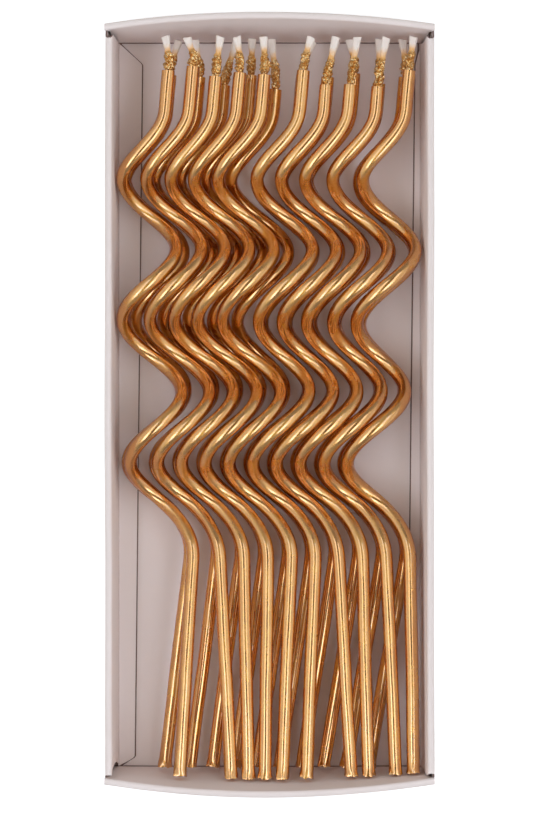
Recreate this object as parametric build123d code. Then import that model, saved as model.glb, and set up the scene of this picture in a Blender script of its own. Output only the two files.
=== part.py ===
from build123d import *
import math
import os

# A card tray of spiral birthday candles, lying on its back. X runs across the tray, Y along it
# towards the wicks, and Z up out of its open face. The origin is the middle of its underside.

# Candle: a wax rod wound into a spiral between a straight stem and a straight top
WAX_DIAMETER = 3.2
SPIRAL_RADIUS = 6.6
SPIRAL_PITCH = 34.6
QUARTER_TURNS = 9
STEM_OFFSET = 8.6
STEM_BEND = 14.5
STEM_LENGTH = 51.8
TOP_X = 3.8
TOP_HEIGHT = 4.2
TOP_BEND = 15.9
TOP_LEAN = 5.0

# Wick, seated in the top of the wax and reaching a set distance above the top bend
WICK_DIAMETER = 1.7
WICK_CLEARANCE = 0.05
WICK_SEAT = 4.5
WICK_STRAIGHT = 1.2
WICK_BEND_RADIUS = 5.0
WICK_REACH = 18.4

# Two layers of candles, nested side by side
CANDLES_IN_ROW = 10
COLUMN_GAP = 0.5
LAYER_GAP = 0.4
FIRST_GAP = 0.85
ROW_SHIFT = -0.4

# Tray of folded card, made to fit the candles
CARD = 0.45
RIM_WIDTH = 1.7
SIDE_SLOPE = 0.5
END_BOW = 3.0
CORNER_SLOT = 0.6
CORNER_SLOT_DEPTH = 5.0
FLOOR_CLEARANCE = 0.3
SIDE_ROOM = 3.3
END_CLEARANCE = 0.6
HEADROOM = 1.75

# The long walls' floor flaps: widths and lengths of their mitres, at the wick end and at the foot end
LEFT_FLAP = (5.7, 3.7)
RIGHT_FLAP = (1.2, 3.2)
FLAP_MITRES = (5.4, 2.4)

# How the candles of each row differ, from left to right: a spiral leans by its first sideways
# shift at the top and bows by its second half-way up
FRONT_LEAN = (-1.9, -2.7, -2.7, -2.7, -2.6, 1.0, 1.1, 1.2, 2.1, 3.6)
FRONT_BOW = (-0.9, -0.5, -0.4, -0.4, -0.3, 1.0, 1.0, 1.1, 1.2, 0.5)
FRONT_FOOT_RISE = 1.5
FRONT_SWING = (-3.2, 2.7, 1.1, -0.6, -2.25, -2.1, 3.0, 1.4, 2.3, 0.8)
FRONT_TOP_LENGTHS = (10.0, 11.0, 8.5, 9.5, 9.0, 10.0, 6.5, 6.5, 6.0, 10.0)
FRONT_WICK_LEANS = (-14.0, -24.0, 2.0, -14.0, -8.0, 12.0, 8.0, 4.0, 6.0, 3.0)
REAR_SHIFT = -0.9
REAR_LEAN = (-0.7, 0.5)
REAR_BOW = 2.2
REAR_FOOT_RISE = -1.5
REAR_SWING = (-6.3, -0.3)
REAR_TOP_LENGTHS = (9.5, 9.0, 7.0, 9.5, 6.0, 9.5, 9.0, 10.0, 7.5, 9.0)
REAR_WICK_LEANS = (12.0, -16.0, 14.0, -4.0, -12.0, 16.0, 10.0, -18.0, -6.0, -12.0)

# Sizes that follow from those above
WAX_RADIUS = WAX_DIAMETER / 2
SPIRAL_RISE = SPIRAL_PITCH / (2 * math.pi)
NESTING = math.hypot(SPIRAL_RADIUS, SPIRAL_RISE) / SPIRAL_RISE
COLUMN_PITCH = (WAX_DIAMETER + COLUMN_GAP) * NESTING
LAYER_PITCH = (WAX_DIAMETER + LAYER_GAP) * NESTING
ROW_MIDDLE = (CANDLES_IN_ROW - 1) / 2
REAR_HEIGHT = CARD + FLOOR_CLEARANCE + WAX_RADIUS + SPIRAL_RADIUS
FRONT_HEIGHT = REAR_HEIGHT + LAYER_PITCH
SPIRAL_HEIGHT = SPIRAL_PITCH * (QUARTER_TURNS - 1) / 4
FOOT_Y = -SPIRAL_PITCH / 4 - STEM_BEND - STEM_LENGTH
TIP_Y = SPIRAL_HEIGHT + TOP_BEND + WICK_REACH
PIVOT_Y = -(FOOT_Y + TIP_Y) / 2
FLOOR_HALF_WIDTH = COLUMN_PITCH * ROW_MIDDLE + SPIRAL_RADIUS + WAX_RADIUS + SIDE_ROOM
HALF_WIDTH = FLOOR_HALF_WIDTH + SIDE_SLOPE + RIM_WIDTH
HALF_LENGTH = (TIP_Y - FOOT_Y) / 2 + END_CLEARANCE + RIM_WIDTH
TRAY_WIDTH = 2 * HALF_WIDTH
TRAY_LENGTH = 2 * HALF_LENGTH
TRAY_HEIGHT = FRONT_HEIGHT + SPIRAL_RADIUS + WAX_RADIUS + HEADROOM
RIM_RADIUS = RIM_WIDTH / 2
RIM_HEIGHT = TRAY_HEIGHT - RIM_RADIUS


def side_wall(flap_widths):
    """A long double wall at the right: outer panel, rolled rim, leaning inner panel and floor flap."""
    rim_x = HALF_WIDTH - RIM_RADIUS
    inner_x = HALF_WIDTH - RIM_WIDTH
    length = TRAY_LENGTH - 2 * RIM_WIDTH + 2 * CARD
    with BuildPart() as wall:
        with BuildSketch(Plane.XZ) as section:
            with BuildLine():
                Line((HALF_WIDTH - CARD, 0), (HALF_WIDTH, 0))
                Line((HALF_WIDTH, 0), (HALF_WIDTH, RIM_HEIGHT))
                ThreePointArc((HALF_WIDTH, RIM_HEIGHT), (rim_x, TRAY_HEIGHT), (inner_x, RIM_HEIGHT))
                Polyline(
                    (inner_x, RIM_HEIGHT),
                    (FLOOR_HALF_WIDTH, CARD),
                    (FLOOR_HALF_WIDTH + CARD, CARD),
                    (inner_x + CARD, RIM_HEIGHT),
                )
                ThreePointArc(
                    (inner_x + CARD, RIM_HEIGHT),
                    (rim_x, TRAY_HEIGHT - CARD),
                    (HALF_WIDTH - CARD, RIM_HEIGHT),
                )
                Line((HALF_WIDTH - CARD, RIM_HEIGHT), (HALF_WIDTH - CARD, 0))
            make_face()
        extrude(amount=length / 2, both=True)
    outer_panel = Pos(HALF_WIDTH - CARD / 2, 0, RIM_HEIGHT / 2) * Box(CARD, TRAY_LENGTH, RIM_HEIGHT)
    return wall.part - [corner_slot(1), corner_slot(-1)] + [outer_panel, floor_flap(flap_widths)]


def corner_slot(end):
    """The open end of a long wall's roll, seen at the corner of the rim."""
    slot_y = HALF_LENGTH - RIM_WIDTH - CORNER_SLOT / 2
    slot = Box(4 * RIM_WIDTH, CORNER_SLOT + CARD, 2 * CORNER_SLOT_DEPTH)
    return Pos(HALF_WIDTH, end * (slot_y + CARD / 2), TRAY_HEIGHT) * slot


def floor_flap(widths):
    """The flap along the foot of a long wall's inner panel, mitred at both ends."""
    end_y = HALF_LENGTH - RIM_WIDTH
    corners = [
        (FLOOR_HALF_WIDTH + CARD, -end_y),
        (FLOOR_HALF_WIDTH + CARD, end_y),
        (FLOOR_HALF_WIDTH, end_y),
        (FLOOR_HALF_WIDTH - widths[0], end_y - FLAP_MITRES[0]),
        (FLOOR_HALF_WIDTH - widths[1], FLAP_MITRES[1] - end_y),
        (FLOOR_HALF_WIDTH, -end_y),
    ]
    return extrude(Plane.XY.offset(CARD) * make_face(Polyline(*corners, close=True)), CARD, dir=(0, 0, 1))


def arc_strip(radius_in, radius_out, sweep_angle):
    """A band between two arcs about the origin, either side of the Y axis."""
    def on_circle(radius, angle):
        return (radius * math.sin(angle), radius * math.cos(angle))

    outer = ThreePointArc(
        on_circle(radius_out, -sweep_angle), (0, radius_out), on_circle(radius_out, sweep_angle)
    )
    inner = ThreePointArc(
        on_circle(radius_in, sweep_angle), (0, radius_in), on_circle(radius_in, -sweep_angle)
    )
    sides = [Line(outer @ 1, inner @ 0), Line(inner @ 1, outer @ 0)]
    return make_face([outer, sides[0], inner, sides[1]])


def end_wall(end):
    """A short double wall: straight along the floor, bowed outwards along its rolled rim."""
    bow_radius = (HALF_WIDTH**2 + END_BOW**2) / (2 * END_BOW)
    bow_centre = HALF_LENGTH + END_BOW - bow_radius
    half_span = HALF_WIDTH + RIM_WIDTH
    reach = math.asin(half_span / bow_radius)

    def panel(outer_face, foot):
        radius_out = bow_radius - outer_face
        top = Pos(0, bow_centre, RIM_HEIGHT) * arc_strip(radius_out - CARD, radius_out, reach)
        bottom = Pos(0, HALF_LENGTH - outer_face - CARD / 2, foot) * Rectangle(2 * half_span, CARD)
        return loft([bottom.face(), top.face()], ruled=True)

    rim_section = Pos(bow_radius - RIM_RADIUS, RIM_HEIGHT) * (Circle(RIM_RADIUS) - Circle(RIM_RADIUS - CARD))
    rim_section &= Pos(bow_radius - RIM_RADIUS, RIM_HEIGHT + RIM_RADIUS) * Rectangle(2 * RIM_WIDTH, RIM_WIDTH)
    rim = revolve(Plane.XZ * rim_section, Axis.Z, math.degrees(2 * reach))
    rim = Pos(0, bow_centre, 0) * Rot(0, 0, 90 - math.degrees(reach)) * rim
    wall = panel(0, 0) + panel(RIM_WIDTH - CARD, CARD) + rim
    wall &= Pos(0, HALF_LENGTH, TRAY_HEIGHT / 2) * Box(TRAY_WIDTH, HALF_LENGTH, TRAY_HEIGHT)
    return wall if end > 0 else mirror(wall, about=Plane.XZ)


def card_tray():
    """The folded tray: base, two long walls and two bowed end walls."""
    base = Pos(0, 0, CARD / 2) * Box(TRAY_WIDTH, TRAY_LENGTH, CARD)
    left_wall = mirror(side_wall(LEFT_FLAP), about=Plane.YZ)
    return base + [left_wall, side_wall(RIGHT_FLAP), end_wall(1), end_wall(-1)]


def biarc(start, start_direction, end, end_direction):
    """Two arcs that leave start and reach end along the given directions and meet smoothly."""
    across = end - start
    along = across.dot(start_direction + end_direction)
    bend = 2 * (1 - start_direction.dot(end_direction))
    reach = (math.sqrt(along**2 + bend * across.dot(across)) - along) / bend
    middle = (start + end + (start_direction - end_direction) * reach) * 0.5
    chord = (middle - start).normalized()
    middle_direction = chord * (2 * chord.dot(start_direction)) - start_direction
    first = TangentArc(start, middle, tangent=start_direction)
    second = TangentArc(middle, end, tangent=middle_direction)
    return [first, second]


def sway(y, lean, bow):
    """A spiral's sideways shift at a height, and its slope there."""
    angle = math.pi * y / SPIRAL_HEIGHT
    shift = lean * (1 - math.cos(angle)) / 2 + bow * math.sin(angle) ** 2
    slope = (lean * math.sin(angle) / 2 + bow * math.sin(2 * angle)) * math.pi / SPIRAL_HEIGHT
    return shift, slope


def spiral_station(quarter, lean, bow):
    """A point of the spiral and its direction there, quarter turns up from its lowest strand."""
    angle = math.pi * (quarter / 2 - 1)
    across, up = SPIRAL_RADIUS * math.sin(angle), SPIRAL_RADIUS * math.cos(angle)
    height = SPIRAL_PITCH * (quarter - 1) / 4
    shift, slope = sway(height, lean, bow)
    point = Vector(across + shift, height, up)
    direction = Vector(up + SPIRAL_RISE * slope, SPIRAL_RISE, -across)
    return point, direction.normalized()


def candle_path(lean, bow, foot, top_length):
    """A candle's centre line, in its own frame: Y up its axis from the lowest left bend."""
    stations = [spiral_station(quarter, lean, bow) for quarter in range(QUARTER_TURNS + 1)]
    first_point, first_direction = stations[0]
    last_point, last_direction = stations[-1]
    stem_top = Vector(STEM_OFFSET, first_point.Y - STEM_BEND, 0)
    stem_direction = (stem_top - foot).normalized()
    top_foot = Vector(lean + TOP_X, last_point.Y + TOP_BEND, TOP_HEIGHT)
    top_direction = Vector(0, 1, 0).rotate(Axis.Z, -TOP_LEAN)
    top = top_foot + top_direction * top_length
    edges = [Line(foot, stem_top)]
    edges += biarc(stem_top, stem_direction, first_point, first_direction)
    for (start, start_direction), (end, end_direction) in zip(stations, stations[1:]):
        edges += biarc(start, start_direction, end, end_direction)
    edges += biarc(last_point, last_direction, top_foot, top_direction)
    edges.append(Line(top_foot, top))
    return Wire(edges), top, top_direction


def wick_path(top, top_direction, wick_length, lean):
    """A wick's centre line: straight out of the wax, then bent sideways by its lean."""
    seat = top - top_direction * WICK_SEAT
    bend_start = top + top_direction * WICK_STRAIGHT
    tip_direction = top_direction.rotate(Axis.Z, -lean)
    bend_centre = bend_start + top_direction.rotate(Axis.Z, -90) * math.copysign(WICK_BEND_RADIUS, lean)
    bend_end = bend_centre + (bend_start - bend_centre).rotate(Axis.Z, -lean)
    bend_length = WICK_BEND_RADIUS * math.radians(abs(lean))
    tip = bend_end + tip_direction * (wick_length - WICK_STRAIGHT - bend_length)
    bend = TangentArc(bend_start, bend_end, tangent=top_direction)
    return Wire([Line(seat, bend_start), bend, Line(bend_end, tip)])


def rod(path, diameter):
    """A round rod swept along a path."""
    return sweep(Plane(path @ 0, z_dir=path % 0) * Circle(diameter / 2), path=path)


def candle(place, lean, bow, foot, top_length, wick_lean):
    """The wax and the wick of one candle, laid in its place, with the wax's centre line."""
    path, top, top_direction = candle_path(lean, bow, foot, top_length)
    wick = wick_path(top, top_direction, WICK_REACH - top_length, wick_lean)
    bore = Line(wick @ 0, top + top_direction)
    wax = rod(path, WAX_DIAMETER) - rod(bore, WICK_DIAMETER + 2 * WICK_CLEARANCE)
    return place * wax, place * rod(wick, WICK_DIAMETER), path


def column_x(column):
    """Where a column of candles lies across the tray; the first lies a little apart."""
    first_gap = 0 if column else FIRST_GAP
    return COLUMN_PITCH * (column - ROW_MIDDLE) + ROW_SHIFT - first_gap


def front_candle(column):
    """A candle of the upper row, by its column from the left. Its foot follows the bowed end wall."""
    place = Pos(column_x(column), PIVOT_Y, FRONT_HEIGHT)
    foot_x = STEM_OFFSET + FRONT_SWING[column]
    wall_bow = END_BOW * (1 - ((column_x(column) + foot_x) / HALF_WIDTH) ** 2) * FRONT_HEIGHT / RIM_HEIGHT
    foot = Vector(foot_x, FOOT_Y - wall_bow, FRONT_FOOT_RISE)
    lean, bow = FRONT_LEAN[column], FRONT_BOW[column]
    return candle(place, lean, bow, foot, FRONT_TOP_LENGTHS[column], FRONT_WICK_LEANS[column])


def rear_candle(column):
    """A candle of the row on the floor, by its column from the left."""
    place = Pos(column_x(column) + REAR_SHIFT, PIVOT_Y, REAR_HEIGHT)
    foot = Vector(STEM_OFFSET + REAR_SWING[0] + REAR_SWING[1] * column, FOOT_Y, REAR_FOOT_RISE)
    lean = REAR_LEAN[0] + REAR_LEAN[1] * column
    return candle(place, lean, REAR_BOW, foot, REAR_TOP_LENGTHS[column], REAR_WICK_LEANS[column])


def least_gap(path, samples=160):
    """The least gap between strands of one candle, measured on points along its centre line."""
    apart = math.ceil(math.pi * WAX_DIAMETER * samples / path.length)
    points = [path.position_at(i / samples) for i in range(samples + 1)]
    gaps = [(a - b).length for i, a in enumerate(points) for b in points[i + apart:]]
    return min(gaps) - WAX_DIAMETER


os.makedirs("parts", exist_ok=True)
export_step(card_tray(), "parts/card_tray.step")
self_gaps = []
for row, make_candle in (("front", front_candle), ("rear", rear_candle)):
    for column in range(CANDLES_IN_ROW):
        wax, wick, path = make_candle(column)
        export_step(wax, f"parts/{row}_candle_{column + 1:02d}_wax.step")
        export_step(wick, f"parts/{row}_candle_{column + 1:02d}_wick.step")
        self_gaps.append(least_gap(path))
print(f"least gap of a candle to itself {min(self_gaps):.2f} mm")
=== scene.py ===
import math
import bpy
import numpy as np
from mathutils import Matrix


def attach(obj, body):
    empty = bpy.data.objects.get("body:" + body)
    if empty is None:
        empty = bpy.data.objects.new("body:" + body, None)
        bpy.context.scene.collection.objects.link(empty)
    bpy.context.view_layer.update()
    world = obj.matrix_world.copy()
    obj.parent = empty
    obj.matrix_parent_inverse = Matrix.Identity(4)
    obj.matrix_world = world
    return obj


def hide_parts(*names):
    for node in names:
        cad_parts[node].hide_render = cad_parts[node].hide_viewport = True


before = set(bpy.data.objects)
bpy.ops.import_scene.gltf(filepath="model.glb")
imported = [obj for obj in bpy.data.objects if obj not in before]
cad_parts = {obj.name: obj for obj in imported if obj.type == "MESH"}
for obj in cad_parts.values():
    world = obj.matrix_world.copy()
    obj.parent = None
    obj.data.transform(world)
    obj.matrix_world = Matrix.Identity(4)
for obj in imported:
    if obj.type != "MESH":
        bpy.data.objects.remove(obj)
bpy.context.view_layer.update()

# A card tray of spiral candles, in metres: X across the tray, Y along it towards the wicks, Z up

MM = 0.001

# Candle
WAX_RADIUS = 1.6 * MM
SPIRAL_RADIUS = 6.6 * MM
SPIRAL_PITCH = 34.6 * MM
QUARTER_TURNS = 9
STEM_OFFSET = 8.6 * MM
STEM_BEND = 14.5 * MM
STEM_LENGTH = 51.8 * MM
TOP_X = 3.8 * MM
TOP_HEIGHT = 4.2 * MM
TOP_BEND = 15.9 * MM
TOP_LEAN = math.radians(5.0)
STEM_POINTS = 40
BEND_POINTS = 60
SPIRAL_POINTS = 300
TOP_POINTS = 12
WAX_RINGS = 400
WAX_SIDES = 26
WAVER = 0.05 * MM
FOOT_CRUMPLE = 1.6 * MM
FOOT_LIP = 0.6 * MM
TOP_CRUMPLE = 0.8 * MM
WAX_SHARP = 50

# Rings that close the rod's foot and top: share of its radius, and shift along it in mm
WAX_FOOT = ((0.3, 0.3), (0.7, 0.22), (0.9, 0.08), (1.0, 0.0))
WAX_TOP = ((0.97, 0.02), (0.9, 0.03), (0.66, 0.0), (0.61, -0.2), (0.58, -1.3))

# Wick
WICK_RADIUS = 0.85 * MM
WICK_STRAIGHT = 1.2 * MM
WICK_REACH = 18.4 * MM
WICK_ROOT = 1.0 * MM
WICK_RINGS = 130
WICK_SIDES = 44
WICK_SHARP = 60
WICK_SLANT = 0.2 * MM
LEAF_RISE = 0.8 * MM

# Places along the wick, as shares of its length
LEAF_END = 0.57
NECK = 0.63
NECK_WIDTH = 0.09
SLANT_START = 0.97

# Rows: values in brackets are in mm, and the wicks' leans in degrees;
# the rear row's pairs give the first column's value and the step to the next
CANDLES_IN_ROW = 10
COLUMN_PITCH = 5.775398 * MM
FIRST_GAP = 0.85 * MM
ROW_SHIFT = -0.4 * MM
PIVOT_Y = -14.275 * MM
REAR_HEIGHT = 8.95 * MM
FRONT_HEIGHT = 14.569306 * MM
FRONT_LEAN = (-1.9, -2.7, -2.7, -2.7, -2.6, 1.0, 1.1, 1.2, 2.1, 3.6)
FRONT_BOW = (-0.9, -0.5, -0.4, -0.4, -0.3, 1.0, 1.0, 1.1, 1.2, 0.5)
FRONT_FOOT_RISE = 1.5 * MM
FRONT_SWING = (-3.2, 2.7, 1.1, -0.6, -2.25, -2.1, 3.0, 1.4, 2.3, 0.8)
FRONT_TOP_LENGTHS = (10.0, 11.0, 8.5, 9.5, 9.0, 10.0, 6.5, 6.5, 6.0, 10.0)
FRONT_WICK_LEANS = (-14.0, -24.0, 2.0, -14.0, -8.0, 12.0, 8.0, 4.0, 6.0, 3.0)
REAR_SHIFT = -0.9 * MM
REAR_LEAN = (-0.7, 0.5)
REAR_BOW = 2.2 * MM
REAR_FOOT_RISE = -1.5 * MM
REAR_SWING = (-6.3, -0.3)
REAR_TOP_LENGTHS = (9.5, 9.0, 7.0, 9.5, 6.0, 9.5, 9.0, 10.0, 7.5, 9.0)
REAR_WICK_LEANS = (12.0, -16.0, 14.0, -4.0, -12.0, 16.0, 10.0, -18.0, -6.0, -12.0)
REAR_SEED = 100

# Tray
CARD = 0.45 * MM
RIM_WIDTH = 1.7 * MM
SIDE_SLOPE = 0.5 * MM
END_BOW = 3.0 * MM
HALF_WIDTH = 39.689291 * MM
HALF_LENGTH = 91.525 * MM
TRAY_HEIGHT = 24.519306 * MM
FLOOR_HALF_WIDTH = HALF_WIDTH - RIM_WIDTH - SIDE_SLOPE
RIM_RADIUS = RIM_WIDTH / 2
RIM_HEIGHT = TRAY_HEIGHT - RIM_RADIUS
FLAP_MITRES = (5.4 * MM, 2.4 * MM)
LEFT_FLAP = (5.9 * MM, 4.0 * MM)
RIGHT_FLAP = (1.2 * MM, 3.2 * MM)
FOLD_RADIUS = 0.5 * MM
EDGE_GAP = 0.02 * MM
SIDE_SAG = 0.18 * MM
RIM_EASE = 0.16 * MM
LONG_WAVE = 0.10 * MM
SHORT_WAVE = 0.06 * MM
FLOOR_WAVE = 0.05 * MM
FLAP_LIFT = 0.06 * MM
FLAP_BEVEL = 0.26 * MM
END_DENT = 0.35 * MM
CARD_SHARP = 35
# How dark the cut edges are painted: bare board darkened with painted shadow, fully on the long walls, a
# little elsewhere
DARK_EDGE = 1.0
PALE_EDGE = 0.25

# How far each long wall's roll and inner panel are cut back, at the foot end and the wick end
LEFT_NOTCHES = (0.8 * MM, 1.8 * MM)
LEFT_GAPES = (2.6 * MM, 0.7 * MM)
RIGHT_NOTCHES = (1.2 * MM, 2.0 * MM)
RIGHT_GAPES = (0.5 * MM, 1.4 * MM)

# Points in each stretch of a wall's section, and the stations where stretches start
FOLD_POINTS = 6
OUTER_POINTS = 12
ROLL_POINTS = 15
INNER_POINTS = 13
CREASE_POINTS = 5
ROLL_START = FOLD_POINTS + OUTER_POINTS
ROLL_MIDDLE = ROLL_START + ROLL_POINTS // 2
INNER_START = ROLL_START + ROLL_POINTS

# Ground and camera
GROUND_SIZE = 3.0
GROUND_DROP = 0.2 * MM
SENSOR = 36.0
CAMERA_HEIGHT = 0.700
CAMERA_X = 0.12 * MM
CAMERA_Y = -1.7 * MM
PICTURE_HEIGHT = 823 * 0.24 * MM

# Lamps: distance, tilt, place along Y, width, length, power, colour, and whether gloss shows them
WHITE_LIGHT = (1.0, 1.0, 1.0)
COOL_LIGHT = (0.92, 1.0, 1.2)
WARM_LIGHT = (1.12, 1.05, 0.6)
LAMPS = (
    ("left_tent", 0.95, -49.0, 0.0, 1.38, 1.6, 1.0, WHITE_LIGHT, True),
    ("right_tent", 0.95, 49.0, 0.0, 1.38, 1.6, 1.0, WHITE_LIGHT, True),
    ("left_softbox", 0.92, -28.0, 0.0, 0.49, 1.5, 0.75, WHITE_LIGHT, True),
    ("right_softbox", 0.92, 28.0, 0.0, 0.49, 1.5, 0.75, WHITE_LIGHT, True),
    ("left_strip", 0.9, -21.5, 0.0, 0.25, 1.4, 1.25, COOL_LIGHT, True),
    ("right_strip", 0.9, 21.5, 0.0, 0.25, 1.4, 1.25, COOL_LIGHT, True),
    ("left_foot_strip", 0.89, -24.0, -0.45, 0.3, 0.66, 0.9, COOL_LIGHT, True),
    ("right_foot_strip", 0.89, 24.0, -0.45, 0.3, 0.66, 0.9, COOL_LIGHT, True),
    ("fill", 1.1, 0.0, 0.0, 1.4, 1.6, 1.5, WARM_LIGHT, False),
)

# Sizes that follow
SPIRAL_RISE = SPIRAL_PITCH / (2 * math.pi)
SPIRAL_HEIGHT = SPIRAL_PITCH * (QUARTER_TURNS - 1) / 4
FOOT_Y = -SPIRAL_PITCH / 4 - STEM_BEND - STEM_LENGTH
ROW_MIDDLE = (CANDLES_IN_ROW - 1) / 2


class Shade:
    """A shader socket in an expression: each operator adds a Math node."""

    def __init__(self, tree, socket=None):
        self.tree = tree
        self.socket = socket

    def node(self, kind, settings=None, inputs=None, output=0):
        """Any other node: its settings are set first, then the values or links of its sockets."""
        made = self.tree.nodes.new(kind)
        for key, value in (settings or {}).items():
            setattr(made, key, value)
        for key, value in (inputs or {}).items():
            if isinstance(value, Shade):
                self.tree.links.new(value.socket, made.inputs[key])
            else:
                made.inputs[key].default_value = value
        return Shade(self.tree, made.outputs[output])

    def math(self, operation, *others):
        """A Math node on this socket and others, in that order."""
        values = dict(enumerate((self, *others)))
        return self.node("ShaderNodeMath", {"operation": operation}, values)

    def __add__(self, other):
        return self.math("ADD", other)

    def __sub__(self, other):
        return self.math("SUBTRACT", other)

    def __mul__(self, other):
        return self.math("MULTIPLY", other)

    def __rsub__(self, other):
        return self.node("ShaderNodeMath", {"operation": "SUBTRACT"}, {0: other, 1: self})

    __radd__ = __add__
    __rmul__ = __mul__

    def ramp(self, low, high):
        """0 at low, 1 at high, smooth between."""
        values = {0: self, 1: low, 2: high}
        return self.node("ShaderNodeMapRange", {"interpolation_type": "SMOOTHSTEP"}, values)

    def mix(self, first, second):
        """The first colour where this socket is 0, the second where it is 1."""
        values = {0: self, 6: first, 7: second}
        return self.node("ShaderNodeMix", {"data_type": "RGBA"}, values, output=2)

    def noise(self, place, scale, detail=3.0, roughness=0.5):
        """Noise over a vector that is first stretched by the scale's three numbers."""
        stretched = self.node("ShaderNodeVectorMath", {"operation": "MULTIPLY"}, {0: place, 1: scale})
        values = {"Vector": stretched, "Scale": 1.0, "Detail": detail, "Roughness": roughness}
        return self.node("ShaderNodeTexNoise", {}, values)

    def bump(self, distance, strength):
        """A normal bent by this socket as a height."""
        values = {"Height": self, "Distance": distance, "Strength": strength}
        return self.node("ShaderNodeBump", {}, values)


def finish_material(name, build):
    """A node material: build gets an empty Shade and a function that fills the Principled shader's sockets."""
    material = bpy.data.materials.new(name)
    material.use_nodes = True
    tree = material.node_tree
    shader = tree.nodes["Principled BSDF"]
    shade = Shade(tree)

    def put(socket, value):
        if isinstance(value, Shade):
            tree.links.new(value.socket, shader.inputs[socket])
        else:
            shader.inputs[socket].default_value = value

    build(shade, put)
    return material


def gold_lacquer(shade, put):
    """Metallic gold over wax: flakes, faint drawing marks along the rod and frosted patches."""
    along = shade.node("ShaderNodeAttribute", {"attribute_name": "straight"}, output=1)
    marks = shade.noise(along, (1500.0, 1500.0, 240.0), 2.0)
    patches = shade.noise(along, (330.0, 330.0, 150.0), 2.0)
    grain = shade.noise(along, (2400.0, 2400.0, 1800.0), 3.0, 0.6)
    tone = (grain * 0.45 + patches * 0.55).ramp(0.34, 0.66)
    put("Base Color", tone.mix((0.74, 0.31, 0.025, 1.0), (0.87, 0.44, 0.07, 1.0)))
    put("Metallic", 1.0)
    put("Specular Tint", (0.5, 0.13, 0.02, 1.0))
    frost = patches.ramp(0.42, 0.66)
    put("Roughness", 0.19 + frost * 0.13 + grain * 0.06)
    height = marks * 0.06 + grain * (0.06 + frost)
    put("Normal", height.bump(0.0001, 0.5))
    put("Coat Weight", 1.0)
    put("Coat IOR", 2.3)
    put("Coat Roughness", 0.1)


def waxed_wick(shade, put):
    """Waxed cotton, white at the tip, with torn gold leaf and an orange stain on its lower half."""
    place = shade.node("ShaderNodeAttribute", {"attribute_name": "straight"}, output=1)
    along = shade.node("ShaderNodeAttribute", {"attribute_name": "along"}, output=2)
    torn = shade.noise(place, (900.0, 900.0, 900.0), 4.0, 0.6)
    flakes = shade.node("ShaderNodeTexVoronoi", {"feature": "F1"}, {"Vector": place, "Scale": 1700.0})
    leaf = (along + torn * 0.34).ramp(0.78, 0.73)
    stain = (along + torn * 0.2).ramp(0.92, 0.68)
    weave = shade.noise(place, (2400.0, 2400.0, 900.0), 2.0)
    cotton = stain.mix((0.85, 0.765, 0.70, 1.0), (0.86, 0.47, 0.14, 1.0))
    gold = flakes.ramp(0.05, 0.7).mix((1.0, 0.84, 0.5, 1.0), (0.76, 0.4, 0.11, 1.0))
    put("Base Color", leaf.mix(cotton, gold))
    put("Metallic", leaf)
    put("Roughness", 0.5 - leaf * 0.28 + weave * 0.08)
    height = leaf * (flakes * 1.4 + torn * 0.8) + (1 - leaf) * weave * 0.35
    put("Normal", height.bump(0.00025, 0.8))
    put("Subsurface Weight", 0.2)
    put("Subsurface Radius", (0.0012, 0.001, 0.0008))


def pink_card(shade, put):
    """Smooth card with a pale pink print: painted lighter on its inner faces and darker on its rim to even out
    their light, painted shade in its creases, bare board darkened with painted shadow at its cut edges.
    """
    place = shade.node("ShaderNodeTexCoord", output=3)
    inside_painted_lighter = shade.node("ShaderNodeAttribute", {"attribute_name": "inside_painted_lighter"}, output=2)
    crease = shade.node("ShaderNodeAttribute", {"attribute_name": "crease"}, output=2)
    cut = shade.node("ShaderNodeAttribute", {"attribute_name": "cut"}, output=2)
    fibres = shade.noise(place, (2200.0, 900.0, 2200.0), 4.0, 0.6)
    clouds = shade.noise(place, (60.0, 40.0, 60.0), 3.0)
    # Lit and shaded copies of the card's pink: the rim and outer faces painted darker, the shaded inner faces
    # painted lighter
    outer = clouds.mix((0.815, 0.73, 0.70, 1.0), (0.785, 0.695, 0.665, 1.0))
    inner = clouds.mix((0.90, 0.81, 0.785, 1.0), (0.87, 0.775, 0.745, 1.0))
    light_evened_tone = inside_painted_lighter.mix(outer, inner)
    # Painted shade: the creases and corner seams blend towards dark brown, where shade falls in them
    crease_shaded = (crease * (0.75 + fibres * 0.5)).ramp(0.0, 1.0).mix(light_evened_tone, (0.20, 0.125, 0.11, 1.0))
    # Cut edges: bare board, painted dark brown as a shadow line
    put("Base Color", cut.mix(crease_shaded, (0.19, 0.125, 0.11, 1.0)))
    put("Roughness", 0.6 + fibres * 0.16)
    put("Normal", fibres.bump(0.00004, 0.35))
    put("Specular IOR Level", 0.35)


GOLD = finish_material("gold_lacquer", gold_lacquer)
WICK = finish_material("waxed_wick", waxed_wick)
PINK = finish_material("pink_card", pink_card)


def make_piece(name, points, faces, material, attributes, sharp):
    """An object at the origin from points and faces, with a value for each point or face and its finish."""
    mesh = bpy.data.meshes.new(name)
    mesh.from_pydata(points.tolist(), [], faces)
    mesh.polygons.foreach_set("use_smooth", np.ones(len(mesh.polygons), dtype=bool))
    mesh.set_sharp_from_angle(angle=math.radians(sharp))
    for key, values in attributes.items():
        kind, field = ("FLOAT", "value") if values.ndim == 1 else ("FLOAT_VECTOR", "vector")
        stored = mesh.attributes.new(key, kind, "POINT" if len(values) == len(points) else "FACE")
        stored.data.foreach_set(field, values.astype(np.float32).ravel())
    mesh.materials.append(material)
    mesh.update()
    piece = bpy.data.objects.new(name, mesh)
    bpy.context.scene.collection.objects.link(piece)
    return piece


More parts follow.
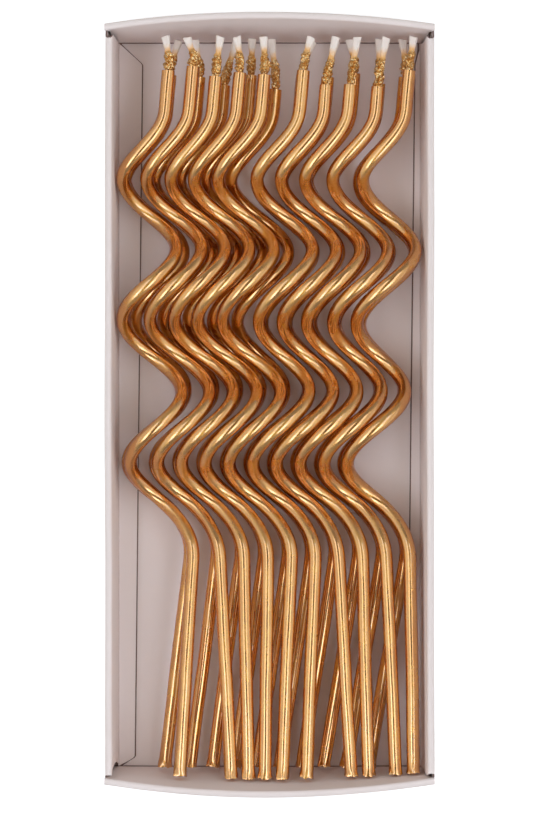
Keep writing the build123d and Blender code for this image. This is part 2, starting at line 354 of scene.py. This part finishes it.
def tube_faces(rings, sides):
    """Faces of rings of points joined in order, with a fan from a middle point at each end."""
    ring, side = np.meshgrid(np.arange(rings - 1), np.arange(sides), indexing="ij")
    here = ring * sides + side
    beside = ring * sides + (side + 1) % sides
    quads = np.stack([here, beside, beside + sides, here + sides], axis=-1).reshape(-1, 4)
    edge = np.arange(sides)
    ahead = (edge + 1) % sides
    first, last = rings * sides, rings * sides + 1
    base = (rings - 1) * sides
    start = np.stack([np.full(sides, first), ahead, edge], axis=-1)
    stop = np.stack([np.full(sides, last), base + edge, base + ahead], axis=-1)
    return quads.tolist() + start.tolist() + stop.tolist()


def slab_faces(rows, columns):
    """Faces of two grids of points, one above the other, with a strip round their edges."""
    row, column = np.meshgrid(np.arange(rows - 1), np.arange(columns - 1), indexing="ij")
    here = row * columns + column
    top = np.stack([here, here + 1, here + columns + 1, here + columns], axis=-1).reshape(-1, 4)
    under = top[:, ::-1] + rows * columns
    grid = np.arange(rows * columns).reshape(rows, columns)
    border = np.concatenate([grid[0, :-1], grid[:-1, -1], grid[-1, :0:-1], grid[:0:-1, 0]])
    ahead = np.roll(border, -1)
    lower = rows * columns
    strip = np.stack([ahead, border, border + lower, ahead + lower], axis=-1)
    return top.tolist() + under.tolist() + strip.tolist()


def hermite(start, start_way, end, end_way, count):
    """A cubic from start to end that leaves and arrives along the given directions."""
    t = np.linspace(0, 1, count)[:, None]
    reach = np.linalg.norm(end - start)
    leave = (1 + 2 * t) * (1 - t) ** 2 * start + t * (1 - t) ** 2 * reach * start_way
    return leave + t**2 * (3 - 2 * t) * end + t**2 * (t - 1) * reach * end_way


def unit(vectors):
    """Vectors of length one along the last axis."""
    return vectors / np.linalg.norm(vectors, axis=-1, keepdims=True)


def even_line(points, count, ease=4):
    """A line's points spread evenly along it and eased over a few neighbours, with the distance at each."""
    steps = np.linalg.norm(np.diff(points, axis=0), axis=1)
    distance = np.concatenate([[0.0], np.cumsum(steps)])
    even = np.linspace(0, distance[-1], count)
    line = np.stack([np.interp(even, distance, points[:, axis]) for axis in range(3)], axis=-1)
    weights = np.hanning(2 * ease + 3)[1:-1]
    wide = np.pad(line, ((ease, ease), (0, 0)), mode="reflect", reflect_type="odd")
    windows = np.lib.stride_tricks.sliding_window_view(wide, 2 * ease + 1, axis=0)
    return windows @ (weights / weights.sum()), even


def candle_line(lean, bow, foot, top_length):
    """A candle's centre line: straight stem, spiral swayed by its lean and bow, straight top."""
    angle = np.linspace(-math.pi, math.pi * (QUARTER_TURNS / 2 - 1), SPIRAL_POINTS)
    y = SPIRAL_RISE * (angle + math.pi / 2)
    turn = math.pi * y / SPIRAL_HEIGHT
    x = SPIRAL_RADIUS * np.sin(angle) + lean * (1 - np.cos(turn)) / 2 + bow * np.sin(turn) ** 2
    spiral = np.stack([x, y, SPIRAL_RADIUS * np.cos(angle)], axis=-1)
    ways = unit(np.gradient(spiral, axis=0))
    stem_top = np.array([STEM_OFFSET, spiral[0, 1] - STEM_BEND, 0.0])
    top_foot = np.array([lean + TOP_X, spiral[-1, 1] + TOP_BEND, TOP_HEIGHT])
    top_way = np.array([math.sin(TOP_LEAN), math.cos(TOP_LEAN), 0.0])
    top = top_foot + top_way * top_length
    stem = np.linspace(foot, stem_top, STEM_POINTS)
    lower = hermite(stem_top, unit(stem_top - foot), spiral[0], ways[0], BEND_POINTS)
    upper = hermite(spiral[-1], ways[-1], top_foot, top_way, BEND_POINTS)
    straight = np.linspace(top_foot, top, TOP_POINTS)
    return np.concatenate([stem, lower[1:], spiral[1:], upper[1:], straight[1:]]), top, top_way


def wick_line(top, top_way, length, lean):
    """A wick's centre line: out of the wax, then bent to its lean and on to its tip."""
    turn = -math.radians(lean)
    spin = np.array([[math.cos(turn), -math.sin(turn), 0], [math.sin(turn), math.cos(turn), 0], [0, 0, 1]])
    tip_way = spin @ top_way
    bend = top + top_way * WICK_STRAIGHT
    corner = bend + top_way * WICK_STRAIGHT
    tip = corner + tip_way * (length - 2 * WICK_STRAIGHT)
    root = top - top_way * WICK_ROOT
    way_out = hermite(bend, top_way, corner + tip_way * WICK_STRAIGHT, tip_way, 20)
    return np.concatenate([np.linspace(root, bend, 10), way_out[1:], np.linspace(way_out[-1], tip, 12)[1:]])


def tube_points(line, radius, angle, shift, ends=(0, 0)):
    """Rings round a line, each with its radius and its shift along the line; its ends may repeat."""
    way = np.pad(unit(np.gradient(line, axis=0)), (ends, (0, 0)), mode="edge")
    centre = np.pad(line, (ends, (0, 0)), mode="edge")
    first = unit(np.array([0.0, 0.0, 1.0]) - way * way[:, 2:3])
    second = np.cross(way, first)
    outward = np.cos(angle)[..., None] * first[:, None] + np.sin(angle)[..., None] * second[:, None]
    return centre[:, None] + outward * radius[..., None] + way[:, None] * shift[..., None]


def rod_piece(name, points, radius, angle, distance, material, attributes, sharp):
    """A closed rod from its rings, with its straightened coordinates kept for its finish."""
    rings, sides = radius.shape
    middles = np.stack([points[0].mean(axis=0), points[-1].mean(axis=0)])
    straight = np.stack(
        [np.cos(angle) * radius, np.sin(angle) * radius, np.broadcast_to(distance, radius.shape)], axis=-1
    )
    axis = np.array([[0, 0, distance[0, 0]], [0, 0, distance[-1, 0]]])
    attributes = attributes | {"straight": np.concatenate([straight.reshape(-1, 3), axis])}
    cloud = np.concatenate([points.reshape(-1, 3), middles])
    return make_piece(name, cloud, tube_faces(rings, sides), material, attributes, sharp)


def wobble(draw, angle, distance, waves, rate):
    """A sum of a few waves round and along a rod, between about -1 and 1."""
    total = np.zeros(np.broadcast(angle, distance).shape)
    for count in waves:
        phase, pace = draw.uniform(0, 2 * math.pi), draw.uniform(0.6, 1.4) * rate
        total += np.sin(count * angle + pace * distance + phase) / len(waves)
    return total


def candle_wax(name, line, draw):
    """A wax rod: a slightly uneven tube with a crumpled cut foot and a square top with the wick's hole."""
    line, distance = even_line(line, WAX_RINGS)
    line = line + WAVER * np.sin(distance[:, None] * draw.uniform(90, 150, 3) + draw.uniform(0, 6, 3))
    foot_scale, foot_shift = np.array(WAX_FOOT).T
    top_scale, top_shift = np.array(WAX_TOP).T
    ends = (len(WAX_FOOT), len(WAX_TOP))
    angle = np.linspace(0, 2 * math.pi, WAX_SIDES, endpoint=False)[None]
    s = np.pad(distance, ends, mode="edge")[:, None]
    near_foot = np.exp(-((s / FOOT_CRUMPLE) ** 2))
    near_top = np.exp(-(((distance[-1] - s) / TOP_CRUMPLE) ** 2))
    radius = WAX_RADIUS * (1 + 0.015 * wobble(draw, angle, s, (1, 2, 3), 320))
    radius = radius * (1 + near_foot * (0.03 + 0.2 * wobble(draw, angle, s, (2, 3, 5, 7), 900)))
    radius = radius * (1 - near_top * (0.03 + 0.03 * wobble(draw, angle, s, (2, 3, 4), 500)))
    scale = np.concatenate([foot_scale, np.ones(WAX_RINGS), top_scale])[:, None]
    shift = np.concatenate([foot_shift, np.zeros(WAX_RINGS), top_shift])[:, None] * MM
    lip = 0.5 + 0.3 * np.cos(angle + draw.uniform(0, 6)) + 0.4 * wobble(draw, angle, s * 0, (3, 4, 7), 0)
    lip = near_foot * FOOT_LIP * np.abs(lip) * scale
    points = tube_points(line, radius * scale, angle, shift + lip, ends)
    return rod_piece(name, points, radius * scale, angle, s + shift + draw.uniform(0, 5), GOLD, {}, WAX_SHARP)


def candle_wick(name, line, draw):
    """A wick: crinkled gold leaf low down, a slim neck, and a flattened, flared cotton tip."""
    line, distance = even_line(line, WICK_RINGS)
    s = distance[:, None]
    along = s / distance[-1]
    angle = np.linspace(0, 2 * math.pi, WICK_SIDES, endpoint=False)[None]
    leafy = np.clip((s - WICK_ROOT) / LEAF_RISE, 0, 1) / (1 + np.exp((along - LEAF_END) * 26))
    crumple = np.abs(wobble(draw, angle, s, (1, 2, 3), 2600))
    crumple = crumple + 0.8 * np.abs(wobble(draw, angle, s, (4, 5, 7), 5200))
    tip = np.clip((along - LEAF_END) / (1 - LEAF_END), 0, 1)
    flat = 1 - tip * 0.3 * np.cos(2 * (angle - draw.uniform(-0.4, 0.4)))
    plain = 0.88 - 0.14 * np.exp(-(((along - NECK) / NECK_WIDTH) ** 2)) + 0.1 * tip**2
    fibre = 0.03 * wobble(draw, angle, s, (5, 8, 11), 700) * tip
    radius = WICK_RADIUS * (plain * flat + fibre + leafy * (0.75 * crumple - 0.2))
    slanted = np.clip((along - SLANT_START) / (1 - SLANT_START), 0, 1)
    slant = (np.cos(angle - draw.uniform(0, 6)) - 1) * WICK_SLANT * slanted
    points = tube_points(line, radius, angle, slant)
    ends = {"along": np.concatenate([np.repeat(along[:, 0], WICK_SIDES), [0.0, 1.0]])}
    return rod_piece(name, points, radius, angle, s + draw.uniform(0, 0.1), WICK, ends, WICK_SHARP)


def column_x(column):
    """Where a column of candles lies across the tray; the first lies a little apart."""
    return COLUMN_PITCH * (column - ROW_MIDDLE) + ROW_SHIFT - (0 if column else FIRST_GAP)


def lay_candle(name, body, place, lean, bow, foot, top_length, wick_lean, seed):
    """One candle's wax and wick in their place, riding on their body."""
    draw = np.random.default_rng(seed)
    line, top, top_way = candle_line(lean, bow, foot, top_length)
    wick = wick_line(top, top_way, WICK_REACH - top_length, wick_lean)
    wax_piece = candle_wax(f"{name}_gold", line + place, draw)
    wick_piece = candle_wick(f"{name}_cotton", wick + place, draw)
    for piece, kind, slot in ((wax_piece, "wax", "gold_wax"), (wick_piece, "wick", "waxed_cotton")):
        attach(piece, body)
        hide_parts(f"{name}_{kind}")


for column in range(CANDLES_IN_ROW):
    front_x = column_x(column)
    foot_x = STEM_OFFSET + FRONT_SWING[column] * MM
    wall_bow = END_BOW * (1 - ((front_x + foot_x) / HALF_WIDTH) ** 2) * FRONT_HEIGHT / RIM_HEIGHT
    rear_foot_x = STEM_OFFSET + (REAR_SWING[0] + REAR_SWING[1] * column) * MM
    front_name = f"front_candle_{column + 1:02d}"
    lay_candle(
        front_name,
        front_name,
        np.array([front_x, PIVOT_Y, FRONT_HEIGHT]),
        FRONT_LEAN[column] * MM,
        FRONT_BOW[column] * MM,
        np.array([foot_x, FOOT_Y - wall_bow, FRONT_FOOT_RISE]),
        FRONT_TOP_LENGTHS[column] * MM,
        FRONT_WICK_LEANS[column],
        column,
    )
    lay_candle(
        f"rear_candle_{column + 1:02d}",
        "rear_row",
        np.array([front_x + REAR_SHIFT, PIVOT_Y, REAR_HEIGHT]),
        (REAR_LEAN[0] + REAR_LEAN[1] * column) * MM,
        REAR_BOW,
        np.array([rear_foot_x, FOOT_Y, REAR_FOOT_RISE]),
        REAR_TOP_LENGTHS[column] * MM,
        REAR_WICK_LEANS[column],
        REAR_SEED + column,
    )


def arc(centre, radius, start, stop, count):
    """Points of an arc in a section, between two angles in degrees."""
    angle = np.radians(np.linspace(start, stop, count))
    return np.stack([centre[0] + radius * np.cos(angle), centre[1] + radius * np.sin(angle)], axis=-1)


def wall_section(half, inner_foot):
    """A double wall's section from its bottom fold: outer panel, rolled rim, inner panel to the floor."""
    middle = CARD / 2
    outer = half - middle
    fold = arc((outer - FOLD_RADIUS, FOLD_RADIUS + middle), FOLD_RADIUS, -90, 0, FOLD_POINTS)
    outer_panel = np.linspace((outer, FOLD_RADIUS + middle), (outer, RIM_HEIGHT), OUTER_POINTS + 2)[1:-1]
    roll = arc((half - RIM_RADIUS, RIM_HEIGHT), RIM_RADIUS - middle, 0, 180, ROLL_POINTS)
    inner = half - RIM_WIDTH + middle
    foot = (inner_foot + middle, CARD + middle + FOLD_RADIUS)
    inner_panel = np.linspace((inner, RIM_HEIGHT), foot, INNER_POINTS + 1)[1:]
    crease = arc((foot[0] - FOLD_RADIUS, foot[1]), FOLD_RADIUS, 0, -90, CREASE_POINTS + 1)[1:]
    return np.concatenate([fold, outer_panel, roll, inner_panel, crease])


def card_piece(name, top, under, inside_painted_lighter, crease, raw_and_shadow):
    """A card sheet from the grids of its two faces, with painted shade in its creases, and cut edges of bare
    board darkened with painted shadow as much as the last argument says.
    """
    rows, columns = top.shape[:2]
    points = np.concatenate([top, under]).reshape(-1, 3)
    faces = slab_faces(rows, columns)
    # The strip of cut edges round the sheet: bare board, darkened with painted shadow
    cut = np.zeros(len(faces))
    cut[2 * (rows - 1) * (columns - 1) :] = raw_and_shadow
    attributes = {
        "inside_painted_lighter": np.broadcast_to(inside_painted_lighter, (2, rows, columns)).ravel(),
        "crease": np.broadcast_to(crease, (2, rows, columns)).ravel(),
        "cut": cut,
    }
    piece = make_piece(name, points, faces, PINK, attributes, CARD_SHARP)
    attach(piece, "tray")
    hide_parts("card_tray")


def card_faces(middle):
    """The two faces of a sheet: its middle grid moved half the card's thickness to each side."""
    normal = unit(np.cross(np.gradient(middle, axis=1), np.gradient(middle, axis=0)))
    return middle + normal * CARD / 2, middle - normal * CARD / 2


def near(values, place, width):
    """1 at a place, falling to 0 over a width to each side."""
    return np.clip(1 - np.abs(values - place) / width, 0, 1)


def long_wall(name, side, flap, notches, gapes):
    """A long wall: its section carried along Y, with a mitred floor flap and its inner ends cut back."""
    section = wall_section(HALF_WIDTH, FLOOR_HALF_WIDTH)
    count = len(section)
    end_y = HALF_LENGTH - RIM_WIDTH
    across = np.linspace(0, 1, 12)[None, 1:]
    step = np.linspace(-1, 1, 220)[:, None]
    step = 0.5 * step + 0.5 * np.sin(step * math.pi / 2)
    station = np.arange(count + across.size)[None]
    rolled = np.sqrt(np.clip(1 - ((station - ROLL_MIDDLE) / 9) ** 2, 0, 1))
    notch = np.where(step < 0, notches[0], notches[1]) * rolled
    leaning = np.sin(math.pi * np.clip((station - 28) / 18, 0, 1))
    notch = np.maximum(notch, np.where(step < 0, gapes[0], gapes[1]) * leaning)
    reach = np.where(station < ROLL_START, HALF_LENGTH - CARD - EDGE_GAP, end_y - notch)
    y = step * reach
    flap_y = y[:, count:]
    width = np.interp(flap_y, [-end_y, end_y], [flap[1], flap[0]])
    mitre = (end_y - np.abs(flap_y)) / np.where(step < 0, FLAP_MITRES[1], FLAP_MITRES[0])
    mitre = np.clip(mitre, 0.02, 1)
    crease_x = section[-1, 0]
    flap_x = crease_x - np.clip(width * mitre - (FLOOR_HALF_WIDTH - crease_x), 0.05 * MM, None) * across
    flap_z = section[-1, 1] + FLAP_LIFT * across**3 * (1 + 0.6 * np.sin(flap_y * 55 + side))
    x = np.concatenate([np.broadcast_to(section[:, 0], (len(y), count)), flap_x], axis=1)
    z = np.concatenate([np.broadcast_to(section[:, 1], (len(y), count)), flap_z], axis=1)
    sag = np.sin(math.pi * np.clip(z / RIM_HEIGHT, 0, 1))
    wave = LONG_WAVE * np.sin(y * 42 + 2 * side) + SHORT_WAVE * np.sin(y * 97 + side)
    x = x - sag * (SIDE_SAG + wave) - np.clip(z / TRAY_HEIGHT, 0, 1) ** 6 * (wave + RIM_EASE)
    top, under = card_faces(np.stack([side * x, y, z], axis=-1))
    for face in (top, under):
        face[:, -1, 0] -= side * FLAP_BEVEL * (face[:, -1, 2] < z[:, -1])
    # From the top of the roll on, the wall takes the lighter tone painted against its shade
    inside_painted_lighter = np.clip((station - 24) / 6, 0, 1)
    # Painted shade: a dark line down the corners where the walls meet, and a fainter one along the fold to the
    # flap
    corner = near(np.abs(y), end_y, 0.5 * MM) * (station > 30) * (station < count)
    crease = np.maximum(0.5 * near(station, count - 3, 2.5), 0.9 * corner)
    card_piece(name, top, under, inside_painted_lighter, crease, DARK_EDGE)


def end_wall(name, end):
    """A short wall: its section carried along X, bowed outwards towards its rim."""
    section = wall_section(HALF_LENGTH, HALF_LENGTH - RIM_WIDTH)
    station = np.arange(len(section))[None]
    reach = HALF_WIDTH - np.where(station < INNER_START, 0, RIM_WIDTH - CARD)
    x = np.broadcast_to(np.linspace(-HALF_WIDTH, HALF_WIDTH, 120)[:, None], (120, len(section)))
    z = np.broadcast_to(section[:, 1], x.shape)
    bow = END_BOW * (1 - (x / HALF_WIDTH) ** 2) * np.clip(z / RIM_HEIGHT, 0, 1)
    dent = END_DENT * np.sin(math.pi * np.clip(z / RIM_HEIGHT, 0, 1)) * np.sin(x * 95 + end) ** 2
    y = section[None, :, 0] + bow - dent - 0.1 * MM * (1 + np.sin(x * 70 + end)) * (z / TRAY_HEIGHT)
    top, under = card_faces(np.stack([x, end * y, z], axis=-1))
    for face in (top, under):
        face[..., 0] = np.clip(face[..., 0], -reach, reach)
    # From the top of the roll on, the wall takes the lighter tone painted against its shade
    inside_painted_lighter = np.clip((station - 24) / 6, 0, 1)
    # Painted shade along the fold at the foot of the inner panel
    crease = 1.2 * near(station, len(section) - 2, 3.0)
    card_piece(name, top, under, inside_painted_lighter, crease, PALE_EDGE)


def tray_floor(name):
    """The base panel: flat below, with a faint wave on its upper face."""
    x = np.linspace(-1, 1, 60)[None] * (HALF_WIDTH - CARD / 2 - FOLD_RADIUS - EDGE_GAP)
    y = np.linspace(-1, 1, 120)[:, None] * (HALF_LENGTH - CARD / 2 - FOLD_RADIUS - EDGE_GAP)
    x, y = np.broadcast_arrays(x, y)
    wave = FLOOR_WAVE * np.sin(x * 60 + 1) * np.sin(y * 35)
    top = np.stack([x, y, CARD + wave - FLOOR_WAVE], axis=-1)
    under = np.stack([x, y, np.zeros_like(x)], axis=-1)
    # The floor takes the lighter tone painted against its shade, and no crease
    card_piece(name, top, under, np.ones(x.shape), np.zeros(x.shape), PALE_EDGE)


tray_floor("card_floor")
long_wall("card_wall_left", -1, LEFT_FLAP, LEFT_NOTCHES, LEFT_GAPES)
long_wall("card_wall_right", 1, RIGHT_FLAP, RIGHT_NOTCHES, RIGHT_GAPES)
end_wall("card_wall_wick_end", 1)
end_wall("card_wall_foot_end", -1)


def studio():
    """A white floor, pairs of soft lamps with a dark gap overhead, a pale sky and the camera."""
    scene = bpy.context.scene
    signs = ((-1, -1), (1, -1), (1, 1), (-1, 1))
    corners = [(x * GROUND_SIZE, y * GROUND_SIZE, -GROUND_DROP) for x, y in signs]
    mesh = bpy.data.meshes.new("studio_floor")
    mesh.from_pydata(corners, [], [(0, 1, 2, 3)])
    ground = bpy.data.objects.new("studio_floor", mesh)
    scene.collection.objects.link(ground)
    white = bpy.data.materials.new("white_floor")
    white.use_nodes = True
    shader = white.node_tree.nodes["Principled BSDF"]
    shader.inputs["Base Color"].default_value = (0.93, 0.93, 0.93, 1.0)
    shader.inputs["Roughness"].default_value = 0.9
    shader.inputs["Specular IOR Level"].default_value = 0.0
    shader.inputs["Emission Color"].default_value = (1.0, 1.0, 1.0, 1.0)
    path = Shade(white.node_tree)
    seen = path.node("ShaderNodeLightPath") + path.node("ShaderNodeLightPath", output=3)
    seen = seen + path.node("ShaderNodeLightPath", output=6)
    white.node_tree.links.new((seen * 0.4).socket, shader.inputs["Emission Strength"])
    mesh.materials.append(white)

    for name, away, tilt, along, width, length, power, colour, in_gloss in LAMPS:
        lamp = bpy.data.lights.new(name, "AREA")
        lamp.shape = "RECTANGLE"
        lamp.size, lamp.size_y = width, length
        lamp.energy = power
        lamp.color = colour
        lamp_object = bpy.data.objects.new(name, lamp)
        turn = math.radians(tilt)
        lamp_object.location = (away * math.sin(turn), along, away * math.cos(turn))
        lamp_object.rotation_euler = (0.0, turn, 0.0)
        lamp_object.visible_camera = False
        lamp_object.visible_glossy = in_gloss
        scene.collection.objects.link(lamp_object)

    world = bpy.data.worlds.new("sky")
    world.use_nodes = True
    scene.world = world
    background = world.node_tree.nodes["Background"]
    sky = Shade(world.node_tree)
    direction = sky.node("ShaderNodeTexCoord")
    height = sky.node("ShaderNodeSeparateXYZ", {}, {0: direction}, output=2)
    sideways = sky.node("ShaderNodeSeparateXYZ", {}, {0: direction}).math("ABSOLUTE")
    level = 0.15 + height.ramp(0.97, 0.6) * (0.12 + sideways * sideways * 0.5)
    camera_ray = sky.node("ShaderNodeLightPath")
    level = level * (1 - camera_ray) + camera_ray
    world.node_tree.links.new(level.socket, background.inputs["Strength"])
    background.inputs["Color"].default_value = (1.0, 1.0, 1.0, 1.0)

    camera = bpy.data.cameras.new("camera")
    camera.sensor_width = SENSOR
    camera.lens = SENSOR * CAMERA_HEIGHT / PICTURE_HEIGHT
    camera_object = bpy.data.objects.new("camera", camera)
    camera_object.location = (CAMERA_X, CAMERA_Y, TRAY_HEIGHT + CAMERA_HEIGHT)
    scene.collection.objects.link(camera_object)
    scene.camera = camera_object
    scene.view_settings.view_transform = "Standard"


studio()
